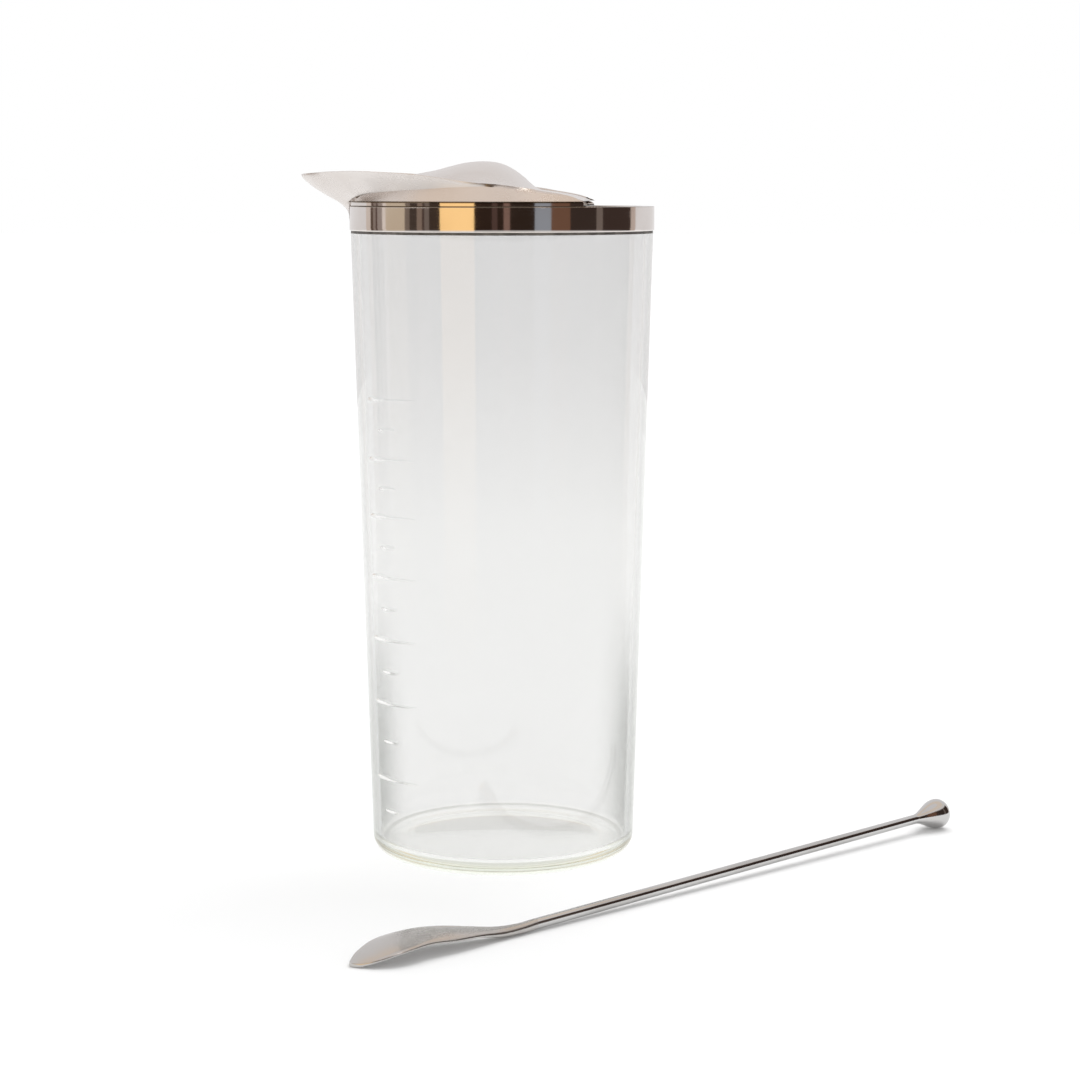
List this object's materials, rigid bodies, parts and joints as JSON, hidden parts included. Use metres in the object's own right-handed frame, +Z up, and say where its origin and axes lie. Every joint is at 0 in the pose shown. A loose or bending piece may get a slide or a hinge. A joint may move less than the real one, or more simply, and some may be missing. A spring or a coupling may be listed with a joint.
{
  "type": "cocktail pitcher",
  "caption": "Tall tapered measuring glass with a polished collar, a lift-off cover with a flared pouring lip and a domed ice guard, and a long stirring spoon.",
  "frame": {"origin": "middle of the glass on the table, in the plane of the ring that it stands on", "axes": "+Z up along the glass, the pouring spout towards -X, the cut measure marks and the spoon towards -Y"},
  "size_m": [0.2308, 0.198, 0.2397],
  "materials": {
    "clear_glass": "clear, polished, faintly yellow-green in its thick bottom",
    "cement": "dark cement line",
    "polished_silver": "mirror-polished silver",
    "polished_steel": "polished steel with fine wear"
  },
  "bodies": {
    "pitcher": {"glass_body": "clear_glass", "rim_seal": "cement", "collar": "polished_silver"},
    "cover": {"cover_rim": "polished_silver", "cover_sleeve": "polished_silver", "cover_shell": "polished_silver", "ice_guard": "polished_silver"},
    "spoon": {"spoon_bowl": "polished_steel", "spoon_stem": "polished_steel", "spoon_knob": "polished_steel"}
  },
  "joints": [
    {"name": "cover_lift", "type": "slide", "parent": "pitcher", "child": "cover", "axis": [0, 0, 1], "range_m": [0, 0.03]},
    {"name": "spoon_lift", "type": "slide", "parent": "pitcher", "child": "spoon", "axis": [0, 0, 1], "range_m": [0, 0.06]}
  ]
}
